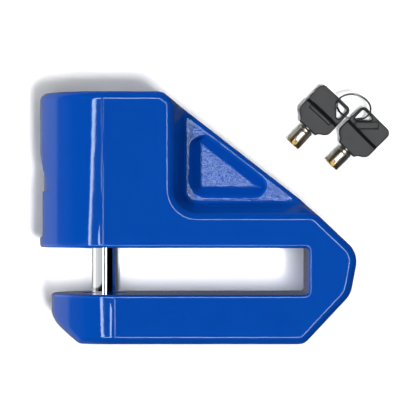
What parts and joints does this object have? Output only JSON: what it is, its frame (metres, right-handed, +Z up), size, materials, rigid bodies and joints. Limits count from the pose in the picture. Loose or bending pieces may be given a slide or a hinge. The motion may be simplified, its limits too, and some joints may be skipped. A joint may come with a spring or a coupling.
{
  "type": "disc brake lock",
  "caption": "Blue cast lock that closes over a motorcycle's brake disc with a push-in pin, shown shut beside its tubular keys on a wire ring.",
  "frame": {"origin": "below the middle of the whole part, on the surface that it lies on", "axes": "+X from the barrel to the nose, +Y along the locking pin towards the keyhole, +Z up, with the lock lying on its flat back"},
  "size_m": [0.1366, 0.1002, 0.05],
  "materials": {
    "blue_paint": "gloss blue enamel over cast metal",
    "chrome": "polished chrome",
    "steel": "plain turned steel",
    "spring_steel": "dark spring wire",
    "brass": "turned brass",
    "nickel": "bright nickel worn to brass at the tip",
    "black_plastic": "moulded black plastic",
    "rubber": "plain rubber"
  },
  "bodies": {
    "body": {"lock_body": "blue_paint", "pin_guide_bush": "steel", "jaw_socket": "steel", "mouth_seal": "rubber", "stop_pin": "steel", "return_spring": "spring_steel"},
    "plunger": {"plunger_shell": "chrome", "driver_block": "brass", "block_pin": "steel", "latch_spring": "spring_steel", "base_plug": "steel", "cross_pin": "steel", "locking_pin": "chrome", "driver_pin_1": "steel", "driver_pin_2": "steel", "driver_pin_3": "steel", "driver_pin_4": "steel", "driver_pin_5": "steel", "driver_pin_6": "steel", "driver_pin_7": "steel", "tumbler_spring_1": "spring_steel", "tumbler_spring_2": "spring_steel", "tumbler_spring_3": "spring_steel", "tumbler_spring_4": "spring_steel", "tumbler_spring_5": "spring_steel", "tumbler_spring_6": "spring_steel", "tumbler_spring_7": "spring_steel"},
    "core": {"core": "brass", "cam_disc": "steel", "cam_screw": "steel", "key_pin_1": "brass", "key_pin_2": "brass", "key_pin_3": "brass", "key_pin_4": "brass", "key_pin_5": "brass", "key_pin_6": "brass", "key_pin_7": "brass"},
    "latch": {"latch_bolt": "steel"},
    "key_ring": {"key_ring": "steel"},
    "key_1": {"key_1_bow": "black_plastic", "key_1_tube": "nickel"},
    "key_2": {"key_2_bow": "black_plastic", "key_2_tube": "nickel"}
  },
  "joints": [
    {"name": "plunger_slide", "type": "slide", "parent": "body", "child": "plunger", "axis": [0, 1, 0], "range_m": [0, 0.0249], "deforming": ["return_spring"]},
    {"name": "core_turn", "type": "hinge", "parent": "plunger", "child": "core", "pos_m": [-0.0437, 0.0371, 0.025], "axis": [0, -1, 0], "range_deg": [0, 90]},
    {"name": "latch_slide", "type": "slide", "parent": "plunger", "child": "latch", "axis": [-1, 0, 0], "range_m": [0, 0.0025], "deforming": ["latch_spring"]},
    {"name": "keys_lift", "type": "slide", "parent": "body", "child": "key_ring", "axis": [0, 0, 1], "range_m": [0, 0.05]},
    {"name": "key_1_swing", "type": "hinge", "parent": "key_ring", "child": "key_1", "pos_m": [0.04775, 0.03982, 0.003], "axis": [0, 0, 1], "range_deg": [-25, 4]},
    {"name": "key_2_swing", "type": "hinge", "parent": "key_ring", "child": "key_2", "pos_m": [0.05784, 0.03658, 0.003], "axis": [0, 0, 1], "range_deg": [-4, 25]}
  ],
  "couplings": [
    {"joint": "latch_slide", "follows": "core_turn", "m_per_rad": 0.00159}
  ]
}
